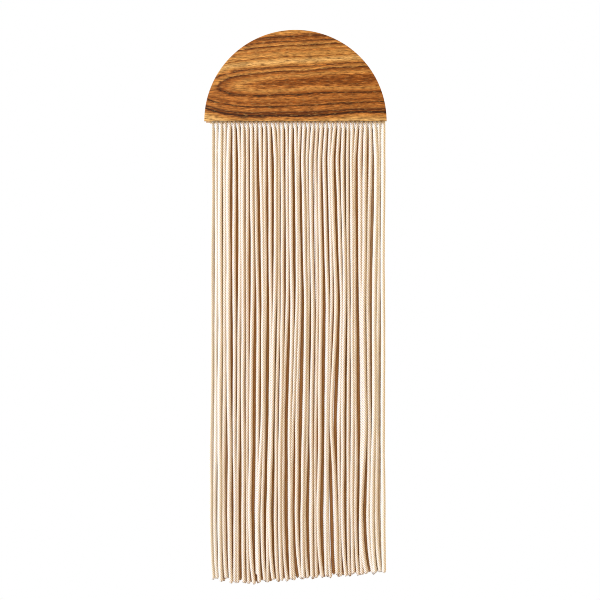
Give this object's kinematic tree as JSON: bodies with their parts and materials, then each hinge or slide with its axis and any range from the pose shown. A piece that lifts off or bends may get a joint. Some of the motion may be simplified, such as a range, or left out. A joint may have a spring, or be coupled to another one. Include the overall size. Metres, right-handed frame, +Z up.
{
  "type": "half-round board cord wall hanging",
  "caption": "Half-round wooden board hung on a keyhole plate, with a long fringe of twisted cotton cords clamped behind its flat edge that swings out in locks.",
  "frame": {"origin": "middle of the keyhole plate's round entry hole, on the plate's back face", "axes": "+Z up, +Y out of the back towards the wall, +X to the viewer's right; the front faces -Y"},
  "size_m": [0.22, 0.023, 0.6678],
  "materials": {
    "board_wood": "oiled satin",
    "batten_wood": "planed",
    "cotton_cord": "natural twisted cotton",
    "screw_steel": "zinc plated",
    "plate_steel": "zinc plated",
    "felt": "felt"
  },
  "bodies": {
    "board_assembly": {"half_round_board": "board_wood", "clamp_batten": "batten_wood", "batten_screws": "screw_steel", "keyhole_plate": "plate_steel", "keyhole_plate_screws": "screw_steel", "lower_left_bumper": "felt", "lower_right_bumper": "felt", "upper_left_bumper": "felt", "upper_right_bumper": "felt", "front_cord_folds": "cotton_cord", "back_cord_folds": "cotton_cord"},
    "fringe_lock_1": {"front_cord_01": "cotton_cord", "front_cord_02": "cotton_cord", "front_cord_03": "cotton_cord", "front_cord_04": "cotton_cord", "back_cord_01": "cotton_cord", "back_cord_02": "cotton_cord", "back_cord_03": "cotton_cord", "back_cord_04": "cotton_cord"},
    "fringe_lock_2": {"front_cord_05": "cotton_cord", "front_cord_06": "cotton_cord", "front_cord_07": "cotton_cord", "front_cord_08": "cotton_cord", "back_cord_05": "cotton_cord", "back_cord_06": "cotton_cord", "back_cord_07": "cotton_cord", "back_cord_08": "cotton_cord"},
    "fringe_lock_3": {"front_cord_09": "cotton_cord", "front_cord_10": "cotton_cord", "front_cord_11": "cotton_cord", "front_cord_12": "cotton_cord", "back_cord_09": "cotton_cord", "back_cord_10": "cotton_cord", "back_cord_11": "cotton_cord", "back_cord_12": "cotton_cord"},
    "fringe_lock_4": {"front_cord_13": "cotton_cord", "front_cord_14": "cotton_cord", "front_cord_15": "cotton_cord", "front_cord_16": "cotton_cord", "back_cord_13": "cotton_cord", "back_cord_14": "cotton_cord", "back_cord_15": "cotton_cord", "back_cord_16": "cotton_cord"},
    "fringe_lock_5": {"front_cord_17": "cotton_cord", "front_cord_18": "cotton_cord", "front_cord_19": "cotton_cord", "front_cord_20": "cotton_cord", "back_cord_17": "cotton_cord", "back_cord_18": "cotton_cord", "back_cord_19": "cotton_cord", "back_cord_20": "cotton_cord"}
  },
  "joints": [
    {"name": "lock_1_swing", "type": "hinge", "parent": "board_assembly", "child": "fringe_lock_1", "pos_m": [0, -0.0158, -0.072], "axis": [-1, 0, 0], "range_deg": [0, 75]},
    {"name": "lock_2_swing", "type": "hinge", "parent": "board_assembly", "child": "fringe_lock_2", "pos_m": [0, -0.0158, -0.072], "axis": [-1, 0, 0], "range_deg": [0, 75]},
    {"name": "lock_3_swing", "type": "hinge", "parent": "board_assembly", "child": "fringe_lock_3", "pos_m": [0, -0.0158, -0.072], "axis": [-1, 0, 0], "range_deg": [0, 75]},
    {"name": "lock_4_swing", "type": "hinge", "parent": "board_assembly", "child": "fringe_lock_4", "pos_m": [0, -0.0158, -0.072], "axis": [-1, 0, 0], "range_deg": [0, 75]},
    {"name": "lock_5_swing", "type": "hinge", "parent": "board_assembly", "child": "fringe_lock_5", "pos_m": [0, -0.0158, -0.072], "axis": [-1, 0, 0], "range_deg": [0, 75]}
  ]
}
